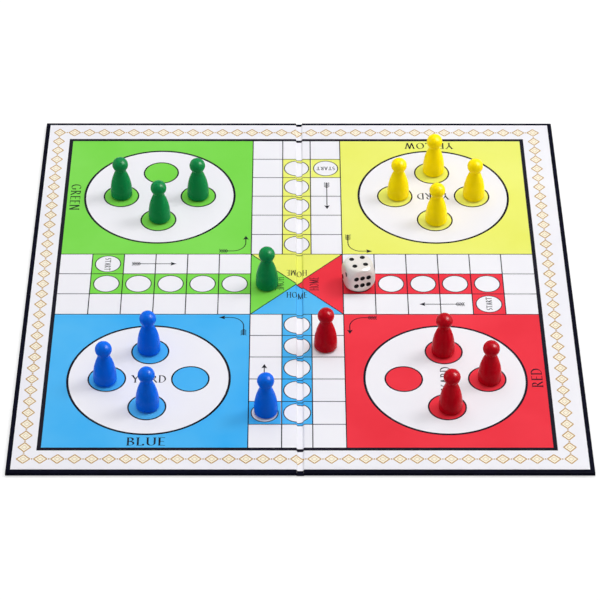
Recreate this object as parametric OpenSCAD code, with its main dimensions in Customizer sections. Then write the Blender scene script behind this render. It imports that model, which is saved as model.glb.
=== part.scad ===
// Folding ludo board, open flat, with its sixteen pawns and one die.
// Two covered boards are joined along the middle by a cloth spine with a crease on each side.
// The printed side folds inward, so the board closes like a book.
// All sizes are in millimetres. X runs across the fold, Y runs along it and Z is up.
// The origin is under the middle of the open board, on the surface it lies on.

/* [Board] */
// Side of the open square board
board_size = 276; // [240:1:320]
// Thickness of the board inside each leaf
core_t = 1.5; // [1.3:0.1:2.2]
// Thickness of the covering cloth
cloth_t = 0.25; // [0.2:0.01:0.3]
// Thickness of the printed sheet
paper_t = 0.15; // [0.12:0.01:0.2]
// Width of cloth that shows round the printed sheet
cloth_margin = 2.3; // [1.5:0.1:4]
// How far the cloth is turned in under the printed sheet
turn_in = 12; // [8:1:16]
// Rounding of the outer edges
edge_r = 0.5; // [0.4:0.05:0.6]

/* [Fold] */
// Thickness of the strip between the two creases
spine_t = 1.0; // [0.9:0.05:1.1]
// Gap left between the printed sides when the board is closed
closed_gap = 0.2; // [0.1:0.05:0.6]
// Clearance round each crease
crease_clear = 0.1; // [0.05:0.01:0.15]
// Rounding of the printed sheet where it dips into the fold
shoulder_r = 0.8; // [0.6:0.05:0.8]

/* [Print] */
// Width of the white border between the black frame and the edge of the sheet
border_w = 12.7; // [11:0.1:15]
// How far the printed design sits to the left of the fold
art_left = 1.4; // [0:0.1:2]
// How far the printed design sits towards the back of the sheet
art_back = 0.1; // [0:0.1:1]
// Width of a lane of the arms that run along the fold
lane_x = 15.6; // [15.2:0.1:16]
// Width of a lane of the arms that run across the fold
lane_y = 15.9; // [15.4:0.1:16.2]
// Depth of the inked layer
ink_t = 0.05; // [0.03:0.01:0.08]
// Width of the black frame
frame_w = 2; // [0.8:0.05:3]
// Width of the thin black lines
line_w = 0.5; // [0.3:0.05:0.6]
// Radius of the white circle in each yard
yard_r = 40; // [38:0.2:44]
// Radius of the coloured discs in the yards
disc_r = 9.4; // [8:0.1:10]
// Radius of the white circles on the coloured spaces
space_r = 6.7; // [5.6:0.1:7]
// Distance of the side discs from the middle of a yard
disc_step_x = 20.3; // [20:0.1:22]
// Distance of the front and back discs from the middle of a yard
disc_step_y = 20.2; // [19:0.1:22]
// Width of the two gold border lines
gold_w = 0.6; // [0.4:0.1:1]
// Spacing of the two gold border lines
gold_gap = 7.2; // [6:0.1:10]

/* [Pawns] */
// Widest diameter of a pawn
pawn_d = 11.4; // [10.8:0.1:12]
// Height of a pawn
pawn_h = 24.2; // [23.6:0.1:25]
// Diameter of the ball at the top
head_d = 8.2; // [7.8:0.1:8.6]
// Diameter of the neck
neck_d = 5.5; // [5:0.1:5.8]
// Radius of the curve of the body
flank_r = 29.8; // [27:0.2:32]
// Height of the widest part of the body
waist_z = 3; // [2:0.1:4]

/* [Die] */
// Side of the die
die_size = 14.6; // [13:0.1:16]
// Diameter of the ball shape that rounds the die's corners
die_ball = 19; // [18.6:0.1:19.4]
// Diameter of a pip
pip_d = 2.6; // [1.8:0.1:3]
// Depth of a pip's recess
pip_depth = 0.45; // [0.35:0.05:0.6]
// Thickness of the paint at the bottom of a recess
pip_paint = 0.25; // [0.15:0.05:0.3]
// Distance of the corner pips from the middle of a face
pip_step = 2.9; // [2.6:0.1:3.2]
// Turn of the die on the board, in degrees
die_turn = 15.5; // [0:0.5:40]

/* [Hidden] */
$fn = 96;
half = board_size / 2;
print_half = half - cloth_margin;
core_z = cloth_t;
filler_z = core_z + core_t;
print_z = filler_z + cloth_t;
top_z = print_z + paper_t;
// The strip is wide enough for the two closed leaves with the gap between them
spine_w = 2 * (top_z - spine_t) + closed_gap;
crease_x = spine_w / 2;
leaf_end = crease_x + crease_clear;
shoulder_z = top_z - shoulder_r;
seat_r = spine_t + crease_clear;
field = print_half - border_w - frame_w;
arm_x = 1.5 * lane_x;
arm_y = 1.5 * lane_y;
step_x = (field - arm_x) / 6;
step_y = (field - arm_y) / 6;
yard_x = (field + arm_x) / 2;
yard_y = (field + arm_y) / 2;
band = field + frame_w + 0.43 * border_w;
hl = line_w / 2;
// The cut for a colour reaches this far under the black lines round it, so that no thin wall stays between them
cut_lap = line_w / 4;
head_z = pawn_h - head_d / 2;
big = 2 * board_size;
paper = [0.96, 0.96, 0.98];
navy = [0.05, 0.05, 0.13];
green = [0.40, 0.80, 0.25];
yellow = [0.93, 0.94, 0.35];
blue = [0.22, 0.68, 0.95];
red = [0.92, 0.20, 0.27];
black = [0.06, 0.06, 0.07];
gold = [0.75, 0.60, 0.30];
pawn_green = [0.02, 0.50, 0.22];
pawn_yellow = [0.95, 0.80, 0.05];
pawn_blue = [0.02, 0.30, 0.75];
pawn_red = [0.78, 0.05, 0.12];
ivory = [0.93, 0.90, 0.84];

// Sub-part to show, or all of them

// Extrudes a shape drawn in X and Z along Y, evenly to both sides
module along_y(length) {
  rotate([90, 0, 0]) linear_extrude(height = length, center = true) children();
}

// Extrudes a shape drawn in Y and Z along X, evenly to both sides
module along_x(length) {
  rotate([90, 0, 90]) linear_extrude(height = length, center = true) children();
}

// The right-hand leaf, drawn in X and Z, up to a layer that follows its rounded shoulder
module leaf_section(depth) {
  translate([leaf_end + shoulder_r, 0]) square([half, top_z - depth]);
  translate([leaf_end + depth, 0]) square([half, shoulder_z]);
  translate([leaf_end + shoulder_r, shoulder_z]) circle(r = shoulder_r - depth);
}

// Hollow in the end of the leaf in which the rounded edge of the spine turns
module crease_hollow(extra) {
  reach = seat_r + extra;
  intersection() {
    translate([crease_x, spine_t]) circle(r = reach);
    translate([0, spine_t - 2 * reach]) square([half, 2 * reach]);
  }
  translate([0, spine_t - 0.02]) square([crease_x + reach, crease_clear + extra + 0.02]);
}

// Rectangle whose ends in the positive direction are rounded above and below
module rounded_end(length, height) {
  square([length - edge_r, height]);
  translate([0, edge_r]) square([length, height - 2 * edge_r]);
  translate([length - edge_r, edge_r]) circle(r = edge_r);
  translate([length - edge_r, height - edge_r]) circle(r = edge_r);
}

// Space under the printed sheet of the right-hand leaf, with rounded outer edges
module leaf_block() {
  intersection() {
    along_y(board_size) intersection() {
      rounded_end(half, print_z);
      leaf_section(paper_t);
    }
    along_x(big) union() {
      rounded_end(half, print_z);
      mirror([1, 0]) rounded_end(half, print_z);
    }
  }
}

module core_body() {
  along_y(board_size - 2 * cloth_t) difference() {
    intersection() {
      leaf_section(paper_t);
      translate([0, core_z]) square([half - cloth_t, core_t]);
    }
    crease_hollow(cloth_t);
  }
}

module filler_body() {
  along_y(board_size - 2 * turn_in) intersection() {
    leaf_section(paper_t);
    translate([0, filler_z]) square([half - turn_in, cloth_t]);
  }
}

module cover_body() {
  difference() {
    leaf_block();
    core_body();
    filler_body();
    along_y(big) crease_hollow(0);
  }
}

// Printed sheet of the right-hand leaf from one depth below its surface to another
module sheet_layer(from, to) {
  along_y(2 * print_half) difference() {
    intersection() {
      leaf_section(from);
      translate([0, spine_t + crease_clear]) square([print_half, top_z]);
    }
    leaf_section(to);
  }
}

// Half-round edged section of the strip between the creases
module spine_section(depth) {
  translate([-crease_x, depth]) square([spine_w, spine_t - depth]);
  for (side = [-1, 1]) {
    intersection() {
      translate([side * crease_x, spine_t]) circle(r = spine_t - depth);
      translate([-half, spine_t - big]) square([board_size, big]);
    }
  }
}

module spine_top() {
  translate([-crease_x, spine_t - paper_t]) square([spine_w, paper_t]);
}

// One coloured yard at the given corner, with its white circle and coloured discs
module yard_area(sx, sy, lap) {
  x0 = arm_x + hl - lap;
  y0 = arm_y + hl - lap;
  end = field + lap;
  difference() {
    translate([sx > 0 ? x0 : -end, sy > 0 ? y0 : -end]) square([end - x0, end - y0]);
    translate([sx * yard_x, sy * yard_y]) circle(r = yard_r);
  }
  translate([sx * yard_x, sy * yard_y]) {
    for (s = [-1, 1]) {
      translate([s * disc_step_x, 0]) circle(r = disc_r);
      translate([0, s * disc_step_y]) circle(r = disc_r);
    }
  }
}

// One coloured space of an arm that runs along Y, counted from the middle of the board
module space_y(lane, number, side, lap) {
  translate([lane * lane_x, side * (arm_y + (number + 0.5) * step_y)]) difference() {
    square([lane_x - line_w + 2 * lap, step_y - line_w + 2 * lap], center = true);
    circle(r = space_r);
  }
}

// One coloured space of an arm that runs along X
module space_x(lane, number, side, lap) {
  translate([side * (arm_x + (number + 0.5) * step_x), lane * lane_y]) difference() {
    square([step_x - line_w + 2 * lap, lane_y - line_w + 2 * lap], center = true);
    circle(r = space_r);
  }
}

// Home triangle that points to the middle from the back or the front
module home_y(side, lap) {
  difference() {
    polygon([[0, 0], [-arm_x, side * arm_y], [arm_x, side * arm_y]]);
    home_lines();
    translate([0, side * arm_y]) square([2 * arm_x, line_w - 2 * lap], center = true);
  }
}

// Home triangle that points to the middle from the left or the right
module home_x(side, lap) {
  difference() {
    polygon([[0, 0], [side * arm_x, -arm_y], [side * arm_x, arm_y]]);
    home_lines();
    translate([side * arm_x, 0]) square([line_w - 2 * lap, 2 * arm_y], center = true);
  }
}

module home_lines() {
  for (s = [-1, 1]) {
    rotate(s * atan2(arm_y, arm_x)) square([3 * arm_x, line_w], center = true);
  }
}

module green_area(lap = 0) {
  yard_area(-1, 1, lap);
  for (number = [0:4]) space_x(0, number, -1, lap);
  space_x(1, 4, -1, lap);
  home_x(-1, lap);
}

module yellow_area(lap = 0) {
  yard_area(1, 1, lap);
  for (number = [0:4]) space_y(0, number, 1, lap);
  space_y(1, 4, 1, lap);
  home_y(1, lap);
}

module blue_area(lap = 0) {
  yard_area(-1, -1, lap);
  for (number = [0:4]) space_y(0, number, -1, lap);
  space_y(-1, 4, -1, lap);
  home_y(-1, lap);
}

module red_area(lap = 0) {
  yard_area(1, -1, lap);
  for (number = [0:4]) space_x(0, number, 1, lap);
  space_x(-1, 4, 1, lap);
  home_x(1, lap);
}

module frame_area(outer, width) {
  difference() {
    square(2 * outer, center = true);
    square(2 * (outer - width), center = true);
  }
}

module black_area() {
  frame_area(field + frame_w, frame_w);
  for (s = [-1, 1]) {
    translate([s * arm_x, 0]) square([line_w, 2 * field], center = true);
    translate([0, s * arm_y]) square([2 * field, line_w], center = true);
    for (t = [-1, 1]) {
      translate([s * lane_x / 2, t * (arm_y + field) / 2]) square([line_w, field - arm_y], center = true);
      translate([t * (arm_x + field) / 2, s * lane_y / 2]) square([field - arm_x, line_w], center = true);
    }
    for (number = [1:5]) {
      translate([0, s * (arm_y + number * step_y)]) square([2 * arm_x, line_w], center = true);
      translate([s * (arm_x + number * step_x), 0]) square([line_w, 2 * arm_y], center = true);
    }
  }
}

module gold_area() {
  frame_area(band + gold_gap / 2, gold_w);
  frame_area(band - gold_gap / 2 + gold_w, gold_w);
}

module left_side() {
  mirror([1, 0, 0]) children();
}

// Inked layer of the right-hand leaf inside the given area
module right_layer() {
  intersection() {
    sheet_layer(0, ink_t);
    linear_extrude(height = 2 * top_z) translate([-art_left, art_back]) children();
  }
}

module left_layer() {
  intersection() {
    left_side() sheet_layer(0, ink_t);
    linear_extrude(height = 2 * top_z) translate([-art_left, art_back]) children();
  }
}

module groove_layer() {
  intersection() {
    translate([-crease_x, -print_half, spine_t - ink_t]) cube([spine_w, 2 * print_half, ink_t]);
    linear_extrude(height = 2 * top_z) translate([-art_left, art_back]) children();
  }
}

// One pawn standing on the origin
module pawn() {
  foot_r = 0.4;
  rotate_extrude() {
    intersection() {
      translate([pawn_d / 2 - flank_r, waist_z]) circle(r = flank_r, $fn = 720);
      square([pawn_d / 2, head_z - head_d / 4]);
      union() {
        translate([0, foot_r]) square([pawn_d, pawn_h]);
        square([pawn_d / 2 - 2 * foot_r, foot_r]);
        translate([pawn_d / 2 - 2 * foot_r, foot_r]) circle(r = foot_r);
      }
    }
    square([neck_d / 2, head_z]);
  }
  translate([0, 0, head_z]) sphere(d = head_d);
}

module place_pawn(x, y) {
  translate([x - art_left, y + art_back, top_z]) pawn();
}

// Pips of one face, drawn on the middle of the face
module face_pips(value) {
  if (value % 2 == 1) circle(d = pip_d);
  if (value > 1) for (s = [-1, 1]) translate([s * pip_step, s * pip_step]) circle(d = pip_d);
  if (value > 3) for (s = [-1, 1]) translate([-s * pip_step, s * pip_step]) circle(d = pip_d);
  if (value == 6) for (s = [-1, 1]) translate([0, s * pip_step]) circle(d = pip_d);
}

// All the pips, from one depth below the faces to another
module pips(from, to) {
  turns = [[0, 0, 0], [90, 0, 0], [90, 0, -90], [90, 0, 90], [-90, 0, 0], [180, 0, 0]];
  values = [4, 6, 2, 5, 1, 3];
  for (face = [0:5]) {
    rotate(turns[face]) translate([0, 0, die_size / 2 - to])
      linear_extrude(height = to - from) face_pips(values[face]);
  }
}

module place_die() {
  translate([2 * lane_x - art_left - 0.1, art_back - 0.2, top_z + die_size / 2]) rotate([0, 0, die_turn]) children();
}

module left_core() {
  color([0.55, 0.53, 0.50]) left_side() core_body();
}

module right_core() {
  color([0.55, 0.53, 0.50]) core_body();
}

module left_cover() {
  color(navy) left_side() cover_body();
}

module right_cover() {
  color(navy) cover_body();
}

module left_filler() {
  color([0.80, 0.78, 0.74]) left_side() filler_body();
}

module right_filler() {
  color([0.80, 0.78, 0.74]) filler_body();
}

module spine_cover() {
  color(navy) difference() {
    along_y(board_size) spine_section(0);
    along_y(2 * print_half) spine_section(cloth_t);
    along_y(2 * print_half) spine_top();
  }
}

module hinge_lining() {
  color([0.85, 0.83, 0.78]) along_y(2 * print_half) difference() {
    spine_section(cloth_t);
    spine_top();
  }
}

module left_print() {
  color(paper) difference() {
    left_side() sheet_layer(0, paper_t);
    left_layer() green_area(cut_lap);
    left_layer() yellow_area(cut_lap);
    left_layer() blue_area(cut_lap);
    left_layer() black_area();
    left_layer() gold_area();
  }
}

module right_print() {
  color(paper) difference() {
    sheet_layer(0, paper_t);
    right_layer() yellow_area(cut_lap);
    right_layer() red_area(cut_lap);
    right_layer() blue_area(cut_lap);
    right_layer() black_area();
    right_layer() gold_area();
  }
}

module groove_print() {
  color(paper) difference() {
    along_y(2 * print_half) spine_top();
    groove_layer() yellow_area();
    groove_layer() blue_area();
    groove_layer() red_area();
  }
}

module left_green_ink() {
  color(green) left_layer() green_area();
}

module left_yellow_ink() {
  color(yellow) left_layer() yellow_area();
}

module left_blue_ink() {
  color(blue) left_layer() blue_area();
}

module left_black_ink() {
  color(black) left_layer() black_area();
}

module left_gold_ink() {
  color(gold) left_layer() gold_area();
}

module right_yellow_ink() {
  color(yellow) right_layer() yellow_area();
}

module right_red_ink() {
  color(red) right_layer() red_area();
}

module right_blue_ink() {
  color(blue) right_layer() blue_area();
}

module right_black_ink() {
  color(black) right_layer() black_area();
}

module right_gold_ink() {
  color(gold) right_layer() gold_area();
}

module groove_yellow_ink() {
  color(yellow) groove_layer() yellow_area();
}

module groove_blue_ink() {
  color(blue) groove_layer() blue_area();
}

module groove_red_ink() {
  color(red) groove_layer() red_area();
}

module green_pawn_1() {
  color(pawn_green) place_pawn(-yard_x - disc_step_x + 0.1, yard_y + 0.9);
}

module green_pawn_2() {
  color(pawn_green) place_pawn(-yard_x + disc_step_x - 0.1, yard_y + 0.2);
}

module green_pawn_3() {
  color(pawn_green) place_pawn(-yard_x + 0.6, yard_y - disc_step_y + 1.2);
}

module green_pawn_4() {
  color(pawn_green) place_pawn(-lane_x + 0.5, -1.2);
}

module yellow_pawn_1() {
  color(pawn_yellow) place_pawn(yard_x + 0.9, yard_y + disc_step_y + 1.2);
}

module yellow_pawn_2() {
  color(pawn_yellow) place_pawn(yard_x - disc_step_x + 1.7, yard_y + 0.5);
}

module yellow_pawn_3() {
  color(pawn_yellow) place_pawn(yard_x + disc_step_x + 1, yard_y - 0.1);
}

module yellow_pawn_4() {
  color(pawn_yellow) place_pawn(yard_x + 0.6, yard_y - disc_step_y - 0.7);
}

module blue_pawn_1() {
  color(pawn_blue) place_pawn(-yard_x - 0.6, -yard_y + disc_step_y + 1.3);
}

module blue_pawn_2() {
  color(pawn_blue) place_pawn(-yard_x - disc_step_x - 0.7, -yard_y - 1.2);
}

module blue_pawn_3() {
  color(pawn_blue) place_pawn(-yard_x + 0.4, -yard_y - disc_step_y + 0.6);
}

module blue_pawn_4() {
  color(pawn_blue) place_pawn(-lane_x + 0.6, -arm_y - 4.5 * step_y + 0.5);
}

module red_pawn_1() {
  color(pawn_red) place_pawn(yard_x - 0.4, -yard_y + disc_step_y - 0.3);
}

module red_pawn_2() {
  color(pawn_red) place_pawn(yard_x + disc_step_x + 1, -yard_y - 0.5);
}

module red_pawn_3() {
  color(pawn_red) place_pawn(yard_x + 1.4, -yard_y - disc_step_y - 0.9);
}

module red_pawn_4() {
  color(pawn_red) place_pawn(lane_x - 1.5, -arm_y - 1.5 * step_y - 0.4);
}

module die() {
  color(ivory) place_die() difference() {
    intersection() {
      cube(die_size, center = true);
      sphere(d = die_ball);
    }
    pips(-1, pip_depth);
  }
}

module die_pips() {
  color(black) place_die() pips(pip_depth - pip_paint, pip_depth);
}

left_core();
right_core();
left_cover();
right_cover();
left_filler();
right_filler();
spine_cover();
hinge_lining();
left_print();
right_print();
groove_print();
left_green_ink();
left_yellow_ink();
left_blue_ink();
left_black_ink();
left_gold_ink();
right_yellow_ink();
right_red_ink();
right_blue_ink();
right_black_ink();
right_gold_ink();
groove_yellow_ink();
groove_blue_ink();
groove_red_ink();
green_pawn_1();
green_pawn_2();
green_pawn_3();
green_pawn_4();
yellow_pawn_1();
yellow_pawn_2();
yellow_pawn_3();
yellow_pawn_4();
blue_pawn_1();
blue_pawn_2();
blue_pawn_3();
blue_pawn_4();
red_pawn_1();
red_pawn_2();
red_pawn_3();
red_pawn_4();
die();
die_pips();
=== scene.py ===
# %% [markdown]
# # A folding ludo board, set out for play
# The board is two leaves of greyboard wrapped in navy leatherette, with one printed sheet over both.
# Sixteen turned-looking plastic pawns and a small die stand on it. The solid model fixes every size and
# every joint. This script builds the looks around it: the printed sheet that dips into the fold, the pawns,
# the die, and the finish of the cloth.

import math

import bmesh
import bpy
import numpy as np
from mathutils import Matrix, Vector
from mathutils.geometry import delaunay_2d_cdt


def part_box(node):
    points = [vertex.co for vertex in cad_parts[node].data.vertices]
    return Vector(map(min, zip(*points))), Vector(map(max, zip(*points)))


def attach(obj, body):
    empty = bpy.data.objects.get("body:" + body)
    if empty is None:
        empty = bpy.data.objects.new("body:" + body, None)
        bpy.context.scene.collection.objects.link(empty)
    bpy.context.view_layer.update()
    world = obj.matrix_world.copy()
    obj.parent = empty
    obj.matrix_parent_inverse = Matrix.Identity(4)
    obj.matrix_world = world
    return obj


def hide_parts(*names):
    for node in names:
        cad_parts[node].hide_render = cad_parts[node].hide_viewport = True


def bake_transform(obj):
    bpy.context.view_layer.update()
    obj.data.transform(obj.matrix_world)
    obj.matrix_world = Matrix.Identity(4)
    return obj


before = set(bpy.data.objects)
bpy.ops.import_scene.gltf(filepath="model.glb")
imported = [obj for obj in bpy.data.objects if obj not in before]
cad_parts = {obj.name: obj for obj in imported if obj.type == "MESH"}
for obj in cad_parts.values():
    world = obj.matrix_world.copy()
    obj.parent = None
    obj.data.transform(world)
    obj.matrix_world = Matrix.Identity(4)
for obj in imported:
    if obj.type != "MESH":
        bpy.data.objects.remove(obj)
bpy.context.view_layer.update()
MM = 0.001
scene = bpy.context.scene

# %% [markdown]
# ## The camera
# The photo was taken from the front with a long lens, looking down by about forty degrees. The four corners
# of the board and of the black frame line fix the camera, so its place is typed here once. A long lens
# keeps the far edge nearly as wide as the near one.

# %% Camera
LENS = 157.5
CAMERA_PLACE = (-0.00477, -1.0243, 0.8532)
TILT = 0.8714
SWING = -0.0049
ROLL = 0.0035


def add_object(name, data):
    thing = bpy.data.objects.new(name, data)
    scene.collection.objects.link(thing)
    return thing


camera_data = bpy.data.cameras.new("camera")
camera_data.lens = LENS
camera_data.sensor_width = 36.0
camera_data.clip_end = 20.0
camera = add_object("camera", camera_data)
turn = Matrix.Rotation(SWING, 4, "Z") @ Matrix.Rotation(TILT, 4, "X") @ Matrix.Rotation(ROLL, 4, "Z")
camera.matrix_world = Matrix.Translation(CAMERA_PLACE) @ turn
scene.camera = camera
print("camera looks along", [round(v, 3) for v in turn.to_3x3() @ Vector((0, 0, -1))])

# %% [markdown]
# ## Light
# The photo is a plain product shot on clean white. A wide lamp high above the far edge and a pale surround
# light the board at a level of about one, so a colour renders about as it is written. A smaller key on the
# right, a little behind, gives the soft shadows that fall to the near left. Two lamps at the sides shape
# the pawns alone, by light linking, so that they throw no long shadows over the sheet. A window that only
# reflections see puts the glint on the upper right of each pawn's head.


# %% Lamps and surround
def area_lamp(name, place, width, watts):
    """A square lamp that looks at the middle of the board."""
    data = bpy.data.lights.new(name, "AREA")
    data.size = width
    data.energy = watts
    lamp = add_object(name, data)
    lamp.location = place
    lamp.rotation_euler = (-Vector(place)).to_track_quat("-Z", "Y").to_euler()
    return lamp


area_lamp("overhead", (0.0, 0.35, 1.85), 1.4, 15.8)
area_lamp("key", (0.98, 0.36, 1.32), 0.55, 8.0)
window = area_lamp("window", (1.0, -0.15, 1.2), 0.9, 150.0)
window.visible_diffuse = False
side_lit = bpy.data.collections.new("pawns_lit_from_the_sides")
for name, x, watts in (("right_side", 1.45, 12.5), ("left_side", -1.45, 9.0)):
    lamp = area_lamp(name, (x, 0.10, 0.55), 0.9, watts)
    lamp.light_linking.receiver_collection = side_lit


def seen_rays(nodes, links):
    """One for rays from the camera, in reflections and through glass, and nought for all others."""
    path = nodes.new("ShaderNodeLightPath")
    seen = path.outputs["Is Camera Ray"]
    for kind in ("Is Glossy Ray", "Is Transmission Ray"):
        either = nodes.new("ShaderNodeMath")
        either.operation = "MAXIMUM"
        links.new(seen, either.inputs[0])
        links.new(path.outputs[kind], either.inputs[1])
        seen = either.outputs[0]
    return seen


SURROUND_LIGHT = 0.4
world = bpy.data.worlds.new("surround")
scene.world = world
world.use_nodes = True
nodes = world.node_tree.nodes
links = world.node_tree.links
background = nodes["Background"]
level = nodes.new("ShaderNodeMapRange")
level.inputs["To Min"].default_value = SURROUND_LIGHT
level.inputs["To Max"].default_value = 1.0
links.new(seen_rays(nodes, links), level.inputs["Value"])
background.inputs["Color"].default_value = (1.0, 1.0, 1.0, 1.0)
links.new(level.outputs["Result"], background.inputs["Strength"])
scene.view_settings.view_transform = "Standard"


# %% [markdown]
# ## Colours and finishes
# Colours are easiest to name as they show on a screen, from 0 to 255. A shader works in linear light, so
# one helper converts them. Each finish then starts from the same small builder: a base colour that wanders
# a little between two close tones, a roughness that wanders too, and a fine bump. That is what keeps a
# printed or moulded surface from looking like flat paint.


# %% Colour helper and finish builder
def screen(red, green, blue):
    def linear(value):
        value = value / 255.0
        return value / 12.92 if value <= 0.04045 else ((value + 0.055) / 1.055) ** 2.4

    return (linear(red), linear(green), linear(blue), 1.0)


def finish_nodes(name):
    material = bpy.data.materials.new(name)
    material.use_nodes = True
    tree = material.node_tree
    return material, tree.nodes, tree.links, tree.nodes["Principled BSDF"]


def wander(tree_nodes, tree_links, scale, detail, low, high):
    """A noise in object space that runs from low to high: two colours or two numbers."""
    coords = tree_nodes.new("ShaderNodeTexCoord")
    noise = tree_nodes.new("ShaderNodeTexNoise")
    noise.inputs["Scale"].default_value = scale
    noise.inputs["Detail"].default_value = detail
    tree_links.new(coords.outputs["Object"], noise.inputs["Vector"])
    if isinstance(low, tuple):
        ramp = tree_nodes.new("ShaderNodeValToRGB")
        ramp.color_ramp.elements[0].position = 0.3
        ramp.color_ramp.elements[1].position = 0.7
        ramp.color_ramp.elements[0].color = low
        ramp.color_ramp.elements[1].color = high
        tree_links.new(noise.outputs["Fac"], ramp.inputs["Fac"])
        return ramp.outputs["Color"]
    spread = tree_nodes.new("ShaderNodeMapRange")
    spread.inputs["From Min"].default_value = 0.3
    spread.inputs["From Max"].default_value = 0.7
    spread.inputs["To Min"].default_value = low
    spread.inputs["To Max"].default_value = high
    tree_links.new(noise.outputs["Fac"], spread.inputs["Value"])
    return spread.outputs["Result"]


def grain_bump(tree_nodes, tree_links, shader, height, depth, strength):
    bump = tree_nodes.new("ShaderNodeBump")
    bump.inputs["Strength"].default_value = strength
    bump.inputs["Distance"].default_value = depth
    tree_links.new(height, bump.inputs["Height"])
    tree_links.new(bump.outputs["Normal"], shader.inputs["Normal"])


def shade(colour, factor):
    return tuple(min(1.0, part * factor) for part in colour[:3]) + (1.0,)


# %% [markdown]
# ## The inks
# The sheet is coated paper, printed in flat colours and sealed with a clear film. The film gives it a low
# sheen with a slight waviness. The cloudy patches that this sheen makes in the big colour fields are
# painted sheen: each ink's base colour wanders between a deeper and a paler tone. Each ink is a finish
# of its own with the same film on top, so all of them come from one function.


# %% Print finishes
FILM_ROUGHNESS = (0.30, 0.39)


def print_finish(name, deep, pale, sheen=0.09):
    material, nodes, links, shader = finish_nodes(name)
    # Painted sheen: the base colour wanders in cloudy patches between the deeper and the paler tone.
    links.new(wander(nodes, links, 17.0, 4.0, deep, pale), shader.inputs["Base Color"])
    links.new(wander(nodes, links, 60.0, 2.0, *FILM_ROUGHNESS), shader.inputs["Roughness"])
    shader.inputs["Specular IOR Level"].default_value = sheen
    waves = wander(nodes, links, 900.0, 2.0, 0.0, 1.0)
    grain_bump(nodes, links, shader, waves, 0.00002, 0.25)
    return material


# The paler tone of each ink stands for the film's sheen, painted into the colour.
finishes = {
    "paper": print_finish("coated_paper", screen(240, 239, 246), screen(246, 245, 250)),
    "green": print_finish("green_print", screen(117, 215, 68), screen(132, 223, 88)),
    "yellow": print_finish("yellow_print", screen(234, 238, 100), screen(241, 245, 128)),
    "blue": print_finish("blue_print", screen(52, 174, 244), screen(92, 192, 248)),
    "red": print_finish("red_print", screen(233, 42, 58), screen(246, 58, 74)),
    "black": print_finish("black_print", screen(14, 11, 26), screen(24, 21, 36), sheen=0.05),
    "gold": print_finish("gold_print", screen(180, 142, 80), screen(200, 164, 104)),
    "soft_gold": print_finish("soft_gold_print", screen(200, 182, 156), screen(216, 198, 172)),
    "pale_gold": print_finish("pale_gold_print", screen(252, 242, 218), screen(254, 246, 228)),
}
print("print finishes:", list(finishes))

# %% [markdown]
# ## The plan of the print
# A ludo board is a cross of three lanes with six spaces to each arm, a yard in each corner, and four
# triangles in the middle. All of it is flat, so it is drawn first as outlines in millimetres, painted one
# over the other as a signwriter would: a later outline covers an earlier one. The sizes are the solid
# model's own, but for the middle lane along the fold: the dip takes up some of its paper, so it looks
# narrower from above.

# %% Sizes of the print
SHEET = 135.7
FIELD = 121.0
ART_X = -1.4
ART_Y = 0.1
FRAME_LINE = 2.0
LANE_X = 15.6
LANE_Y = 15.9
MIDDLE_X = 14.8
ARM_X = 1.5 * LANE_X
ARM_Y = 1.5 * LANE_Y
STEP_X = (FIELD - ARM_X) / 6
STEP_Y = (FIELD - ARM_Y) / 6
YARD_X = (FIELD + ARM_X) / 2
YARD_Y = (FIELD + ARM_Y) / 2
YARD_R = 40.0
DISC_R = 9.4
SPACE_R = 6.7
DISC_STEP_X = 20.3
DISC_STEP_Y = 20.2
THIN_LINE = 0.52
SPACE_LINE = 0.5
DISC_LINE = 0.75
YARD_LINE = 1.15
painted = []


def paint(ink, outline):
    """Keeps an outline for later, moved with the design and turned so that it runs anticlockwise."""
    outline = np.array(outline, dtype=float) + (ART_X, ART_Y)
    after = np.roll(outline, -1, axis=0)
    swept = (outline[:, 0] * after[:, 1] - after[:, 0] * outline[:, 1]).sum()
    painted.append((ink, outline if swept > 0.0 else outline[::-1]))


def block(ink, x0, y0, x1, y1):
    paint(ink, [(x0, y0), (x1, y0), (x1, y1), (x0, y1)])


def stroke(ink, start, end, width):
    start = np.array(start)
    end = np.array(end)
    along = (end - start) / np.linalg.norm(end - start)
    side = np.array((-along[1], along[0])) * width / 2
    paint(ink, [start - side, end - side, end + side, start + side])


def ring(outer_ink, inner_ink, x, y, radius, line, sides):
    for ink, size in ((outer_ink, radius), (inner_ink, radius - line)):
        angles = np.arange(sides) * 2 * math.pi / sides
        paint(ink, np.column_stack((x + size * np.cos(angles), y + size * np.sin(angles))))


def quarter(x, y, turns):
    """A point turned by quarter turns about the middle of the board."""
    for _ in range(turns % 4):
        x, y = -y, x
    return x, y


# %% [markdown]
# The four players' inks go round the board: green on the left, yellow at the back, red on the right and
# blue at the front. Yards, triangles and home columns are painted first, then the lines, then the circles.

# %% Paint the fields
block("paper", -SHEET - ART_X, -SHEET - ART_Y, SHEET - ART_X, SHEET - ART_Y)
block("black", -FIELD - FRAME_LINE, -FIELD - FRAME_LINE, FIELD + FRAME_LINE, FIELD + FRAME_LINE)
block("paper", -FIELD, -FIELD, FIELD, FIELD)
yards = {"green": (-1, 1), "yellow": (1, 1), "blue": (-1, -1), "red": (1, -1)}
for ink, (sx, sy) in yards.items():
    block(ink, sx * ARM_X, sy * ARM_Y, sx * FIELD, sy * FIELD)
    ring("black", "paper", sx * YARD_X, sy * YARD_Y, YARD_R, YARD_LINE, 180)
    for dx, dy in ((1, 0), (-1, 0), (0, 1), (0, -1)):
        disc_x = sx * YARD_X + dx * DISC_STEP_X
        disc_y = sy * YARD_Y + dy * DISC_STEP_Y
        ring("black", ink, disc_x, disc_y, DISC_R, DISC_LINE, 72)
corners = [(-ARM_X, -ARM_Y), (ARM_X, -ARM_Y), (ARM_X, ARM_Y), (-ARM_X, ARM_Y)]
for ink, first in (("blue", 0), ("red", 1), ("yellow", 2), ("green", 3)):
    paint(ink, [corners[first], corners[(first + 1) % 4], (0, 0)])
spaces = []
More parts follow.
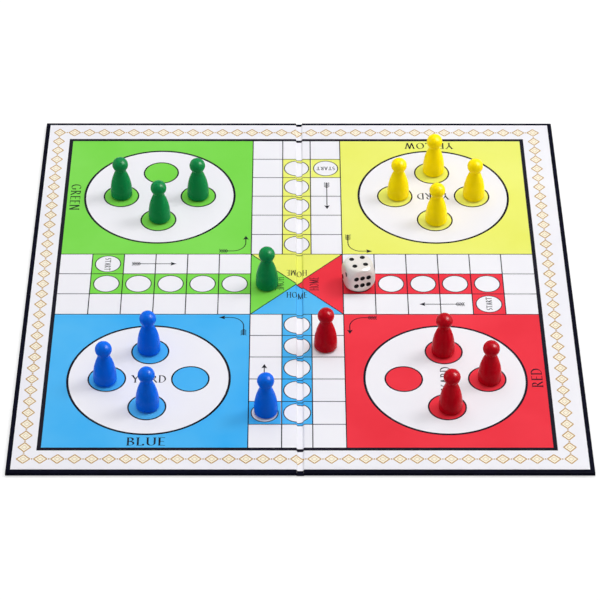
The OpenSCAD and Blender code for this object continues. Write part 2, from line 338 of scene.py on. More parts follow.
for ink, sx in (("green", -1), ("red", 1)):
    block(ink, sx * ARM_X, -LANE_Y / 2, sx * (FIELD - STEP_X), LANE_Y / 2)
    spaces += [(sx * (FIELD - (k + 0.5) * STEP_X), 0.0) for k in range(1, 6)]
    lane = -sx * LANE_Y
    block(ink, sx * (FIELD - STEP_X), lane - LANE_Y / 2, sx * (FIELD - 2 * STEP_X), lane + LANE_Y / 2)
    spaces.append((sx * (FIELD - 1.5 * STEP_X), lane))
for ink, sy in (("blue", -1), ("yellow", 1)):
    block(ink, -MIDDLE_X / 2, sy * ARM_Y, MIDDLE_X / 2, sy * (FIELD - STEP_Y))
    spaces += [(0.0, sy * (FIELD - (k + 0.5) * STEP_Y)) for k in range(1, 6)]
    lane = sy * LANE_X
    block(ink, lane - LANE_X / 2, sy * (FIELD - STEP_Y), lane + LANE_X / 2, sy * (FIELD - 2 * STEP_Y))
    spaces.append((lane, sy * (FIELD - 1.5 * STEP_Y)))
print("outlines so far:", len(painted), "ringed spaces:", len(spaces))

# %% Paint the lines and rings
for sx in (-1, 1):
    for k in range(6):
        x = sx * (ARM_X + k * STEP_X)
        stroke("black", (x, -ARM_Y), (x, ARM_Y), THIN_LINE)
    for y in (-ARM_Y, -LANE_Y / 2, LANE_Y / 2, ARM_Y):
        stroke("black", (sx * ARM_X, y), (sx * FIELD, y), THIN_LINE)
for sy in (-1, 1):
    for k in range(6):
        y = sy * (ARM_Y + k * STEP_Y)
        stroke("black", (-ARM_X, y), (ARM_X, y), THIN_LINE)
    for x in (-ARM_X, -MIDDLE_X / 2, MIDDLE_X / 2, ARM_X):
        stroke("black", (x, sy * ARM_Y), (x, sy * FIELD), THIN_LINE)
stroke("black", corners[0], corners[2], THIN_LINE)
stroke("black", corners[1], corners[3], THIN_LINE)
for x, y in spaces:
    ring("black", "paper", x, y, SPACE_R, SPACE_LINE, 64)
print("outlines with lines and rings:", len(painted))

# %% [markdown]
# ## Arrows
# Each player has two arrows like the ones an archer shoots: a straight one on the lane after the start, and
# a bent one in the yard's inner corner that shows which way to go round. A shaft, a solid head and a pair
# of slanted feathers make one. The feathers are a few short strokes that lean back from the shaft. Both
# arrows are drawn once, for green, and turned round the board for the others.


# %% Arrow outlines
SHAFT = 0.5
HEAD_LENGTH = 2.6
HEAD_NOTCH = 0.5
HEAD_HALF = 1.45
BARBS = 5
BARB = 0.36
BARB_STEP = 0.85
FIRST_BARB = 1.1
BARB_BACK = 1.1
BARB_OUT = 1.4


def arrow(points, turns):
    path = [np.array(quarter(x, y, turns)) for x, y in points]
    for start, end in zip(path[:-1], path[1:]):
        stroke("black", start, end, SHAFT)
    forward = (path[-1] - path[-2]) / np.linalg.norm(path[-1] - path[-2])
    side = np.array((-forward[1], forward[0]))
    tip = path[-1] + forward * HEAD_LENGTH
    back = path[-1] - forward * HEAD_NOTCH
    paint("black", [tip, back + side * HEAD_HALF, path[-1], back - side * HEAD_HALF])
    forward = (path[1] - path[0]) / np.linalg.norm(path[1] - path[0])
    side = np.array((-forward[1], forward[0]))
    for number in range(BARBS):
        root = path[0] + forward * (FIRST_BARB + number * BARB_STEP)
        for hand in (-1, 1):
            stroke("black", root, root - forward * BARB_BACK + side * hand * BARB_OUT, BARB)


ARROW_LANE = 16.0
BEND_X = -33.0
BEND_Y = 33.2
BEND_R = 6.7
straight = [(-84.3, ARROW_LANE), (-64.1, ARROW_LANE)]
bend = np.linspace(-math.pi / 2, 0.0, 13)
bent = [(-39.9, BEND_Y - BEND_R)]
bent += [(BEND_X + BEND_R * math.cos(a), BEND_Y + BEND_R * math.sin(a)) for a in bend]
bent += [(BEND_X + BEND_R, 36.3)]
for turns in range(4):
    arrow(straight, turns)
    arrow(bent, turns)
print("outlines with arrows:", len(painted))

# %% [markdown]
# ## Words
# The plain words of the game face the player who sits on that side. They are set in Roman capitals, whose
# thick and thin strokes come from a broad pen held at a slant: a stroke is widest where it runs across the
# nib and thinnest where it runs along it. So a letter needs only the paths that the pen takes, and one
# formula gives each path its width. A short flat stroke, the serif, finishes the end of a stem.

# %% A broad pen
NIB = 0.155
HAIR = 0.055
SMALL_WEIGHT = 1.35
PEN_SLANT = math.radians(18)
SERIF = 0.13
LETTER_GAP = 0.13


def ribbon(points, pen_width):
    """The outline of a stroke along a path; its width depends on the direction of each step."""
    points = np.array(points, dtype=float)
    along = np.gradient(points, axis=0)
    along /= np.linalg.norm(along, axis=1)[:, None]
    side = np.column_stack((-along[:, 1], along[:, 0]))
    side *= pen_width(np.arctan2(along[:, 1], along[:, 0]))[:, None] / 2
    return np.vstack((points - side, (points + side)[::-1]))


def pen(points, weight):
    return ribbon(points, lambda way: weight * np.maximum(HAIR, NIB * np.abs(np.sin(way - PEN_SLANT))))


def bow(x, y, across, up, start, end):
    """An arc of an ellipse, between two angles in degrees."""
    angles = np.radians(np.linspace(start, end, 17))
    return [(x + across * math.cos(a), y + up * math.sin(a)) for a in angles]


def stem(x, low=0.0, high=1.0):
    return [(x, low), (x, high)]


def bar(x0, x1, y):
    return [(x0, y), (x1, y)]


def serifs(*ends):
    return [bar(x - SERIF, x + SERIF, abs(y - HAIR / 2)) for x, y in ends]


# %% Paths of the letters
TOP_BAR = 1 - HAIR / 2
LOW_BAR = HAIR / 2
letters = {
    "A": [[(0.1, 0), (0.4, 1)], [(0.4, 1), (0.7, 0)], bar(0.2, 0.6, 0.34)] + serifs((0.1, 0), (0.7, 0)),
    "B": [stem(0.14), bow(0.24, 0.75, 0.26, 0.22, 90, -90), bow(0.24, 0.27, 0.32, 0.24, 90, -90)],
    "D": [stem(0.14), bow(0.24, 0.5, 0.48, 0.47, 90, -90)],
    "E": [stem(0.14), bar(0.03, 0.56, TOP_BAR), bar(0.14, 0.48, 0.52), bar(0.03, 0.58, LOW_BAR)],
    "G": [bow(0.42, 0.5, 0.36, 0.47, 48, 320), stem(0.7, 0.12, 0.44), bar(0.56, 0.82, 0.44)],
    "H": [stem(0.14), stem(0.68), bar(0.14, 0.68, 0.52)],
    "L": [stem(0.14), bar(0.03, 0.56, LOW_BAR), stem(0.55, 0.02, 0.2)] + serifs((0.14, 1)),
    "M": [stem(0.14), [(0.14, 1), (0.48, 0.05)], [(0.48, 0.05), (0.82, 1)], stem(0.82)],
    "N": [stem(0.12), [(0.12, 1), (0.68, 0)], stem(0.68)] + serifs((0.12, 0), (0.68, 1)),
    "O": [bow(0.42, 0.5, 0.36, 0.47, 90, 270), bow(0.42, 0.5, 0.36, 0.47, 90, -90)],
    "R": [stem(0.14), bow(0.24, 0.74, 0.28, 0.23, 90, -90), [(0.3, 0.5), (0.68, 0)]] + serifs((0.14, 0)),
    "S": [bow(0.27, 0.74, 0.18, 0.23, 35, 270) + bow(0.27, 0.27, 0.2, 0.24, 90, -145)[1:]],
    "T": [stem(0.34), bar(0.02, 0.66, TOP_BAR), stem(0.03, 0.82, 0.98), stem(0.65, 0.82, 0.98)],
    "U": [stem(0.14, 0.32), bow(0.41, 0.32, 0.27, 0.29, 180, 360), stem(0.68, 0.32)],
    "W": [[(0.06, 1), (0.3, 0)], [(0.3, 0), (0.52, 1)], [(0.52, 1), (0.76, 0)], [(0.76, 0), (0.98, 1)]],
    "Y": [[(0.06, 1), (0.38, 0.46)], [(0.38, 0.46), (0.7, 1)], stem(0.38, 0, 0.46)] + serifs((0.38, 0)),
}
letters["B"] += [bar(0.03, 0.26, TOP_BAR), bar(0.14, 0.26, 0.52), bar(0.03, 0.26, LOW_BAR)]
letters["D"] += [bar(0.03, 0.26, TOP_BAR), bar(0.03, 0.26, LOW_BAR)]
letters["H"] += serifs((0.14, 0), (0.14, 1), (0.68, 0), (0.68, 1))
letters["R"] += [bar(0.03, 0.26, TOP_BAR), bar(0.14, 0.32, 0.51)]
letters["M"] += serifs((0.14, 0), (0.82, 0))
letters["T"] += serifs((0.34, 0))
letters["U"] += serifs((0.14, 1), (0.68, 1))
letters["W"] += serifs((0.06, 1), (0.98, 1))
letters["Y"] += serifs((0.06, 1), (0.7, 1))
print("letters:", "".join(letters))


# %% Words on the sheet
def word(name, width, height, x, y, turns, weight=1.0):
    outlines = []
    reach = 0.0
    for letter in name:
        drawn = [pen(path, weight) for path in letters[letter]]
        left = np.vstack(drawn)[:, 0].min()
        outlines += [outline + (reach - left, 0.0) for outline in drawn]
        reach = np.vstack(outlines)[:, 0].max() + LETTER_GAP
    low = np.vstack(outlines).min(axis=0)
    high = np.vstack(outlines).max(axis=0)
    for outline in outlines:
        places = (outline - (low + high) / 2) / (high - low) * np.array((width, height))
        paint("black", [np.array(quarter(px, py, turns)) + np.array((x, y)) for px, py in places])


NAME_WIDTHS = {"blue": 18.3, "red": 13.6, "yellow": 26.5, "green": 22.0}
NAME_HEIGHT = 5.6
NAME_PLACE = (-71.6, -116.8)
HOME_SIZE = (10.4, 4.6)
HOME_PLACE = (0.0, -8.7)
START_SIZE = (9.8, 3.2)
START_PLACE = (-LANE_X, -FIELD + 1.5 * STEP_Y)
YARD_SIZE = (17.0, 5.8)
for turns, (ink, width) in enumerate(NAME_WIDTHS.items()):
    word("HOME", *HOME_SIZE, *quarter(*HOME_PLACE, turns), turns)
    word("START", *START_SIZE, *quarter(*START_PLACE, turns), turns, SMALL_WEIGHT)
    word(ink.upper(), width, NAME_HEIGHT, *quarter(*NAME_PLACE, turns), turns)
    word("YARD", *YARD_SIZE, *quarter(-YARD_X, -YARD_Y, turns), turns)
print("outlines with words:", len(painted))

# %% [markdown]
# ## The gold border
# A chain of lozenges runs round the white margin in gold, a common printer's ornament. Each lozenge has a
# pale fill, a bold outline and a thin smaller lozenge inside it, and a small solid one stands between each
# and the next. One link is drawn as a flat mesh, and a Geometry Nodes tree sets it along the four sides,
# with a lozenge in each corner. A tree suits this, because the links have to divide the sides evenly, and
# that is one number here.

# %% One link of the border
BAND = 128.8
LINKS_A_SIDE = 32
PITCH = 2 * BAND / LINKS_A_SIDE
LOZENGE_HEIGHT = 6.0
LOZENGE_GAP = 1.7
LOZENGE_WIDTH = PITCH - LOZENGE_GAP
INNER = 0.45
BEAD = 1.1
BOLD = 0.6
THIN = 0.26
GOLD_TONES = ("pale_gold", "soft_gold", "gold")


def flat_mesh(name, outlines):
    """A mesh of flat outlines, each with the number of its gold tone."""
    mesh = bpy.data.meshes.new(name)
    points = []
    faces = []
    for outline, tone in outlines:
        faces.append(tuple(range(len(points), len(points) + len(outline))))
        points += [(x * MM, y * MM, 0.0) for x, y in outline]
    mesh.from_pydata(points, [], faces)
    mesh.attributes.new("tone", "INT", "FACE").data.foreach_set("value", [tone for _, tone in outlines])
    return add_object(name, mesh)


def lozenge(width, height, x=0.0):
    """The four tips of a lozenge."""
    return [(x + width / 2, 0.0), (x, height / 2), (x - width / 2, 0.0), (x, -height / 2)]


def edges(tips, width):
    """The four sides of a lozenge, as strokes of one width."""
    ways = zip(tips, tips[1:] + tips[:1])
    return [ribbon(way, lambda angle: np.full(len(angle), width)) for way in ways]


outer = lozenge(LOZENGE_WIDTH, LOZENGE_HEIGHT)
inner = lozenge(INNER * LOZENGE_WIDTH, INNER * LOZENGE_HEIGHT)
link_outlines = [(outer, 0)]
link_outlines += [(side, 1) for side in edges(inner, THIN)]
link_outlines += [(side, 2) for side in edges(outer, BOLD)]
link_outlines.append((lozenge(BEAD, BEAD, PITCH / 2), 2))
link = flat_mesh("gold_link", link_outlines)
print("one link has", len(link.data.polygons), "faces")


# %% A tree that sets the links along a square path
def new_tree(name, sizes):
    tree = bpy.data.node_groups.new(name, "GeometryNodeTree")
    tree.interface.new_socket("Geometry", in_out="INPUT", socket_type="NodeSocketGeometry")
    for label, kind in sizes:
        tree.interface.new_socket(label, in_out="INPUT", socket_type=kind)
    tree.interface.new_socket("Geometry", in_out="OUTPUT", socket_type="NodeSocketGeometry")
    return tree, tree.nodes.new("NodeGroupInput"), tree.nodes.new("NodeGroupOutput")


def close_tree(geometry):
    """Ends the tree in hand: its instances become plain faces in the given material."""
    plain = make("GeometryNodeRealizeInstances")
    join(geometry, plain.inputs[0])
    inked = make("GeometryNodeSetMaterial")
    join(plain.outputs[0], inked.inputs["Geometry"])
    join(given.outputs["Material"], inked.inputs["Material"])
    join(inked.outputs[0], result.inputs[0])


def plain_mesh(thing):
    bpy.context.view_layer.update()
    return bpy.data.meshes.new_from_object(thing.evaluated_get(bpy.context.evaluated_depsgraph_get()))


def run_tree(tree, name, values, start=None):
    """Runs a tree on a start mesh, or on an empty one, and returns its result as a plain mesh."""
    carrier = add_object(name, start or bpy.data.meshes.new(name))
    modifier = carrier.modifiers.new("tree", "NODES")
    modifier.node_group = tree
    for item in tree.interface.items_tree:
        if item.in_out == "INPUT" and item.name in values:
            modifier[item.identifier] = values[item.name]
    finished = plain_mesh(carrier)
    bpy.data.objects.remove(carrier)
    return finished


def maths(operation, *values):
    node = make("ShaderNodeMath")
    node.operation = operation
    for socket, value in zip(node.inputs, values):
        if isinstance(value, (int, float)):
            socket.default_value = value
        else:
            join(value, socket)
    return node.outputs[0]


tree, given, result = new_tree(
    "chain_round_a_square",
    [
        ("Half Side", "NodeSocketFloat"),
        ("Links a Side", "NodeSocketInt"),
        ("Link", "NodeSocketObject"),
        ("Material", "NodeSocketMaterial"),
    ],
)
make = tree.nodes.new
join = tree.links.new
whole_side = maths("MULTIPLY", given.outputs["Half Side"], 2.0)
square = make("GeometryNodeCurvePrimitiveQuadrilateral")
join(whole_side, square.inputs["Width"])
join(whole_side, square.inputs["Height"])
spaced = make("GeometryNodeCurveToPoints")
spaced.mode = "COUNT"
join(square.outputs[0], spaced.inputs["Curve"])
join(maths("MULTIPLY", given.outputs["Links a Side"], 4.0), spaced.inputs["Count"])
number = make("GeometryNodeInputIndex")
which_side = maths("FLOOR", maths("DIVIDE", number.outputs[0], given.outputs["Links a Side"]))
aim = make("ShaderNodeCombineXYZ")
join(maths("MULTIPLY_ADD", which_side, math.pi / 2, math.pi), aim.inputs["Z"])
shape = make("GeometryNodeObjectInfo")
join(given.outputs["Link"], shape.inputs["Object"])
placed = make("GeometryNodeInstanceOnPoints")
join(spaced.outputs["Points"], placed.inputs["Points"])
join(shape.outputs["Geometry"], placed.inputs["Instance"])
join(aim.outputs["Vector"], placed.inputs["Rotation"])
close_tree(placed.outputs["Instances"])
chain_values = {
    "Half Side": BAND * MM,
    "Links a Side": LINKS_A_SIDE,
    "Link": link,
    "Material": finishes["gold"],
}
chain = run_tree(tree, "gold_chain", chain_values)
tones = [item.value for item in chain.attributes["tone"].data]
for face, tone in sorted(zip(chain.polygons, tones), key=lambda pair: pair[1]):
    outline = [chain.vertices[k].co / MM for k in face.vertices]
    paint(GOLD_TONES[tone], [(p.x, p.y) for p in outline])
bpy.data.objects.remove(link)
print("gold faces:", len(chain.polygons), "all outlines:", len(painted))

# %% [markdown]
# ## Cutting the sheet into inks
# The painted outlines overlap, but a mesh must not. A constrained triangulation cuts all of them against
# each other at once and says which outlines lie under each triangle, so the last one painted gives its ink.
# Each ink then becomes a thin closed tile as thick as the paper, and the tiles fit edge to edge like an
# inlay: no two lie in one place, so nothing flickers, and each keeps its own finish.
#
# The sheet dips into the fold. It drops steeply from the left leaf, turns over the hinge strip and climbs
# a little more gently to the right leaf. Extra cuts along the fold let the tiles follow that curve.

# %% The dip at the fold
PAPER = 0.15
TOP = 2.15
DIP = 1.06
DIP_LEFT = -1.95
FLOOR_LEFT = -1.15
FLOOR_RIGHT = 1.05
DIP_RIGHT = 2.05


def dip(x):
    fall = np.clip((x - DIP_LEFT) / (FLOOR_LEFT - DIP_LEFT), 0.0, 1.0)
    rise = np.clip((x - FLOOR_RIGHT) / (DIP_RIGHT - FLOOR_RIGHT), 0.0, 1.0)
    down = fall * fall * (3 - 2 * fall)
    up = rise * rise * (3 - 2 * rise)
    return TOP - DIP * (down - up)


fold_cuts = np.concatenate((np.linspace(DIP_LEFT, FLOOR_LEFT, 11), np.linspace(FLOOR_RIGHT, DIP_RIGHT, 11)))
fold_cuts = np.concatenate((fold_cuts, np.linspace(FLOOR_LEFT, FLOOR_RIGHT, 8)[1:-1]))
print("sheet height at the fold:", [round(float(dip(x)), 2) for x in (-1.9, -1.5, -1.1, 0.0, 1.5, 2.0)])


# %% Cut one half into triangles by ink
def cut_half(side):
    points = []
    cut_lines = []
    faces = []
    inks = []
    for ink, outline in painted:
        reach = max(side * x for x, y in outline)
        if reach <= 0.0:
            continue
        faces.append(list(range(len(points), len(points) + len(outline))))
        points += [Vector(p) for p in outline]
        inks.append(ink)
    cuts = [0.0] + [x for x in fold_cuts if side * x > 0.001]
    for x in cuts:
        cut_lines.append((len(points), len(points) + 1))
        points += [Vector((x, -SHEET)), Vector((x, SHEET))]
    verts, _, triangles, _, _, covers = delaunay_2d_cdt(points, cut_lines, faces, 0, 1e-5)
    verts = np.array([v[:] for v in verts])
    triangles = np.array(triangles)
    middle = verts[triangles].mean(axis=1)[:, 0] * side
    groups = {}
    for triangle, cover, where in zip(triangles, covers, middle):
        if where > 0.0 and cover:
            groups.setdefault(inks[max(cover)], []).append(triangle)
    return verts, {ink: np.array(found) for ink, found in groups.items()}


# %% Make a closed tile from triangles
def tile(name, verts, triangles, material):
    used, flat = np.unique(triangles, return_inverse=True)
    flat = flat.reshape(-1, 3)
    plan = verts[used]
    count = len(used)
    upper = np.column_stack((plan, dip(plan[:, 0])))
    lower = upper - np.array((0.0, 0.0, PAPER))
    pairs = np.vstack((flat[:, [0, 1]], flat[:, [1, 2]], flat[:, [2, 0]]))
    known = {(a, b) for a, b in pairs.tolist()}
    rim = [(a, b) for a, b in known if (b, a) not in known]
    walls = [(b, a, a + count, b + count) for a, b in rim]
    faces = flat.tolist() + (flat[:, ::-1] + count).tolist() + walls
    mesh = bpy.data.meshes.new(name)
    mesh.from_pydata((np.vstack((upper, lower)) * MM).tolist(), [], faces)
    mesh.polygons.foreach_set("use_smooth", np.ones(len(faces), dtype=bool))
    folded = {tuple(sorted(pair)) for pair in rim}
    folded |= {(a + count, b + count) for a, b in folded}
    sharp = [tuple(sorted(edge.vertices)) in folded for edge in mesh.edges]
    mesh.edges.foreach_set("use_edge_sharp", sharp)
    sheet_map = mesh.uv_layers.new(name="OFBake")
    corner = np.zeros(len(mesh.loops), dtype=np.int32)
    mesh.loops.foreach_get("vertex_index", corner)
    places = np.vstack((plan, plan))[corner] / (2 * SHEET) + 0.5
    sheet_map.data.foreach_set("uv", places.astype(np.float32).ravel())
    mesh.materials.append(material)
    mesh.update()
    return add_object(name, mesh)


# %% [markdown]
# Each half lies in place as the board lies open. Its tiles take the place of the solid model's print and
# ink parts of that half, which are hidden.

# %% Both halves of the sheet
left_nodes = {"paper": ["left_print", "groove_print"]}
right_nodes = {"paper": ["right_print"]}
for ink in ("green", "yellow", "blue", "black", "gold"):
    left_nodes[ink] = ["left_" + ink + "_ink"]
for ink in ("yellow", "red", "blue", "black", "gold"):
    right_nodes[ink] = ["right_" + ink + "_ink"]
left_nodes["yellow"].append("groove_yellow_ink")
left_nodes["blue"].append("groove_blue_ink")
left_nodes["red"] = ["groove_red_ink"]
total = 0
for label, side, stands_for in (("left", -1, left_nodes), ("right", 1, right_nodes)):
    verts, groups = cut_half(side)
    for ink, triangles in sorted(groups.items()):
        piece = tile(label + "_sheet_" + ink, verts, triangles, finishes[ink])
        if side < 0:
            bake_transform(piece)
        else:
            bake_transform(piece)
        if ink in stands_for:
            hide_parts(*stands_for[ink])
        total += len(piece.data.polygons)
        print(piece.name, len(triangles), "triangles on top")
print("faces in the sheet:", total)

# %% [markdown]
# ## The pawns
# The pawns are moulded in one piece: a bell with a small hollow round its foot, a short neck and a ball for
# a head. Such a shape is a radius that depends only on height, so the tree works out that radius for each
# ring of a plain cylinder: the flank is an arc, the head is a sphere, and smooth maximum joins them with
# the small hollow that a mould leaves at the neck.

# %% A tree that turns a pawn
PAWN_AROUND = 80
PAWN_RINGS = 112
pawn_sizes = [
    "Widest Diameter",
    "Height",
    "Head Diameter",
    "Neck Diameter",
    "Flank Radius",
    "Waist Height",
    "Foot Radius",
    "Neck Hollow",
]
sockets = [(label, "NodeSocketFloat") for label in pawn_sizes]
tree, given, result = new_tree("turned_pawn", sockets + [("Material", "NodeSocketMaterial")])
make = tree.nodes.new
join = tree.links.new


def arc(radius, rise):
    """Half the width of a circle at this height above its middle."""
    square_left = maths("SUBTRACT", maths("MULTIPLY", radius, radius), maths("MULTIPLY", rise, rise))
    return maths("SQRT", maths("MAXIMUM", square_left, 0.0))


size = {label: given.outputs[label] for label in pawn_sizes}
blank = make("GeometryNodeMeshCylinder")
blank.inputs["Vertices"].default_value = PAWN_AROUND
blank.inputs["Side Segments"].default_value = PAWN_RINGS
blank.inputs["Radius"].default_value = 1.0
blank.inputs["Depth"].default_value = 1.0
place = make("ShaderNodeSeparateXYZ")
join(make("GeometryNodeInputPosition").outputs[0], place.inputs[0])
level = maths("ADD", place.outputs["Z"], 0.5)
eased = maths("SUBTRACT", 0.5, maths("MULTIPLY", maths("COSINE", maths("MULTIPLY", level, math.pi)), 0.5))
z = maths("MULTIPLY", eased, size["Height"])
head_r = maths("MULTIPLY", size["Head Diameter"], 0.5)
head_z = maths("SUBTRACT", size["Height"], head_r)
head = arc(head_r, maths("SUBTRACT", z, head_z))
flank_middle = maths("SUBTRACT", maths("MULTIPLY", size["Widest Diameter"], 0.5), size["Flank Radius"])
flank = maths("ADD", flank_middle, arc(size["Flank Radius"], maths("SUBTRACT", z, size["Waist Height"])))
foot_rise = maths("MINIMUM", z, size["Foot Radius"])
foot = maths("SUBTRACT", flank, arc(size["Foot Radius"], foot_rise))
neck = maths("MULTIPLY", size["Neck Diameter"], 0.5)
body = maths("SMOOTH_MAX", foot, neck, size["Neck Hollow"])
joined = maths("SMOOTH_MAX", body, head, size["Neck Hollow"])
upper = maths("GREATER_THAN", z, head_z)
kept = maths("MULTIPLY", joined, maths("SUBTRACT", 1.0, upper))
radius = maths("ADD", kept, maths("MULTIPLY", head, upper))
ring_place = make("ShaderNodeCombineXYZ")
join(maths("MULTIPLY", place.outputs["X"], radius), ring_place.inputs["X"])
join(maths("MULTIPLY", place.outputs["Y"], radius), ring_place.inputs["Y"])
join(z, ring_place.inputs["Z"])
shaped = make("GeometryNodeSetPosition")
join(blank.outputs["Mesh"], shaped.inputs["Geometry"])
join(ring_place.outputs[0], shaped.inputs["Position"])
closed = make("GeometryNodeMergeByDistance")
closed.inputs["Distance"].default_value = 0.000001
join(shaped.outputs[0], closed.inputs["Geometry"])
close_tree(closed.outputs[0])
print("nodes in the pawn tree:", len(tree.nodes))


# %% [markdown]
# The pawns' plastic is coloured right through, with a semi-gloss skin from the mould. It shows a bright
# window at the head and a softer streak down the flank. A very fine bump and a roughness that wanders keep
# the highlight from looking like glass.


# %% Pawn plastic
def plastic(name, colour):
    material, nodes, links, shader = finish_nodes(name)
    base = wander(nodes, links, 120.0, 2.0, shade(colour, 0.96), shade(colour, 1.04))
    links.new(base, shader.inputs["Base Color"])
    links.new(wander(nodes, links, 300.0, 3.0, 0.22, 0.30), shader.inputs["Roughness"])
    shader.inputs["Specular IOR Level"].default_value = 0.06
    skin = wander(nodes, links, 2200.0, 2.0, 0.0, 1.0)
    grain_bump(nodes, links, shader, skin, 0.00003, 0.2)
    return material


plastics = {
    "green": plastic("green_plastic", screen(10, 120, 61)),
    "yellow": plastic("yellow_plastic", screen(240, 213, 0)),
    "blue": plastic("blue_plastic", screen(0, 92, 207)),
    "red": plastic("red_plastic", screen(167, 0, 19)),
}
pawn_values = {
    "Widest Diameter": 11.4 * MM,
    "Height": 24.2 * MM,
    "Head Diameter": 8.2 * MM,
    "Neck Diameter": 5.5 * MM,
    "Flank Radius": 29.8 * MM,
    "Waist Height": 3.0 * MM,
    "Foot Radius": 0.8 * MM,
    "Neck Hollow": 1.1 * MM,
}
print("plastics:", list(plastics))

# %% Stand the pawns on the board
for colour, material in plastics.items():
    for number in range(1, 5):
        node = colour + "_pawn_" + str(number)
        low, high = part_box(node)
        middle = Vector(((low[0] + high[0]) / 2, (low[1] + high[1]) / 2, low[2]))
        mesh = run_tree(tree, node + "_turned", dict(pawn_values, Material=material))
        mesh.transform(Matrix.Translation(middle))
        for face in mesh.polygons:
            face.use_smooth = face.normal.z > -0.99
        pawn = add_object(node + "_turned", mesh)
        side_lit.objects.link(pawn)
        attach(pawn, node)
        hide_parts(node)
print("pawns:", 4 * len(plastics), "faces in each:", len(mesh.polygons))

# %% [markdown]
# ## The die
# A cheap die is tumbled after moulding, so all of its edges are round. Its shape is a cube and a ball
# blended into each other. Each point of a finely divided cube is slid along its own ray until it meets that
# surface. The pips are shallow round cuts, and black paint lies in each one as a thin dish.

# %% Die body
DIE = 14.6
DIE_BALL = 19.0
EDGE = 1.4
BLEND = 1.0
CUTS_A_SIDE = 47
SPREAD = 0.72
FIRST_REACH = 5.0
SLIDES = 60
SLIDE_SHARE = 0.8
DIE_TURN = math.radians(15.5)
PIP_D = 2.6
PIP_STEP = 2.813
SIX_LONG = 1.12
SIX_NARROW = 0.78
PIP_DEPTH = 0.45
PAINT_INSET = 0.03
PAINT_TOP = 0.04
PAINT_FOOT = -0.02


def die_distance(points):
    reach = np.abs(points) - (DIE / 2 - EDGE)
    outside = np.linalg.norm(np.maximum(reach, 0.0), axis=1)
    box = outside + np.minimum(reach.max(axis=1), 0.0) - EDGE
    ball = np.linalg.norm(points, axis=1) - DIE_BALL / 2
    mixed = np.clip(0.5 + 0.5 * (box - ball) / BLEND, 0.0, 1.0)
    return box * mixed + ball * (1 - mixed) + mixed * (1 - mixed) * BLEND


die_mesh = bpy.data.meshes.new("die_body")
builder = bmesh.new()
bmesh.ops.create_cube(builder, size=2.0)
bmesh.ops.subdivide_edges(builder, edges=builder.edges[:], cuts=CUTS_A_SIDE, use_grid_fill=True)
builder.to_mesh(die_mesh)
builder.free()
rays = np.array([v.co[:] for v in die_mesh.vertices])
rays = np.tan(rays * SPREAD) / math.tan(SPREAD)
rays /= np.linalg.norm(rays, axis=1)[:, None]
reach = np.full(len(rays), FIRST_REACH)
for _ in range(SLIDES):
    reach -= SLIDE_SHARE * die_distance(rays * reach[:, None])
die_mesh.vertices.foreach_set("co", (rays * reach[:, None] * MM).astype(np.float32).ravel())
die_mesh.update()
print("die is", [round(float(v), 2) for v in np.ptp(rays * reach[:, None], axis=0)], "mm")

# %% [markdown]
# The pips are set out face by face: four on top, six towards the front in two rows of three, two on the
# left, five on the right, one at the back and three below, so that opposite faces add up to seven. A tree
# instances one shape on each of these points: once a ball to cut the dishes, and once a thin dish of paint.

# %% Pip places
pip_sets = {
    4: [(-1, -1), (-1, 1), (1, -1), (1, 1)],
    6: [(x * SIX_LONG, y * SIX_NARROW) for x in (-1, 0, 1) for y in (-1, 1)],
    5: [(-1, -1), (-1, 1), (1, -1), (1, 1), (0, 0)],
    2: [(-1, -1), (1, 1)],
    1: [(0, 0)],
    3: [(-1, -1), (0, 0), (1, 1)],
}
face_axes = {
    4: ((0, 0, 1), (1, 0, 0)),
    3: ((0, 0, -1), (1, 0, 0)),
    6: ((0, -1, 0), (1, 0, 0)),
    1: ((0, 1, 0), (1, 0, 0)),
    2: ((-1, 0, 0), (0, 1, 0)),
    5: ((1, 0, 0), (0, 1, 0)),
}
pip_points = []
pip_normals = []
for spots, places in pip_sets.items():
    normal = Vector(face_axes[spots][0])
    across = Vector(face_axes[spots][1])
    up = normal.cross(across)
    for x, y in places:
        pip_points.append((normal * DIE / 2 + across * x * PIP_STEP + up * y * PIP_STEP) * MM)
        pip_normals.append(normal)
print("pips:", len(pip_points))

# %% A tree that sets one shape on each pip
tree, given, result = new_tree(
    "shape_on_points", [("Shape", "NodeSocketObject"), ("Material", "NodeSocketMaterial")]
)
make = tree.nodes.new
join = tree.links.new
facing = make("GeometryNodeInputNamedAttribute")
facing.data_type = "FLOAT_VECTOR"
facing.inputs["Name"].default_value = "facing"
aim = make("FunctionNodeAlignRotationToVector")
aim.axis = "Z"
join(facing.outputs[0], aim.inputs["Vector"])
shape = make("GeometryNodeObjectInfo")
join(given.outputs["Shape"], shape.inputs["Object"])
placed = make("GeometryNodeInstanceOnPoints")
join(given.outputs["Geometry"], placed.inputs["Points"])
join(shape.outputs["Geometry"], placed.inputs["Instance"])
join(aim.outputs["Rotation"], placed.inputs["Rotation"])
close_tree(placed.outputs["Instances"])


def on_pips(name, shape_object, material):
    mesh = bpy.data.meshes.new(name)
    mesh.from_pydata([tuple(p) for p in pip_points], [], [])
    directions = np.array([n[:] for n in pip_normals], dtype=np.float32)
    mesh.attributes.new("facing", "FLOAT_VECTOR", "POINT").data.foreach_set("vector", directions.ravel())
    return run_tree(tree, name, {"Shape": shape_object, "Material": material}, mesh)


# %% [markdown]
# The die's plastic is a warm ivory with a soft gloss. The pip paint is a matt black.

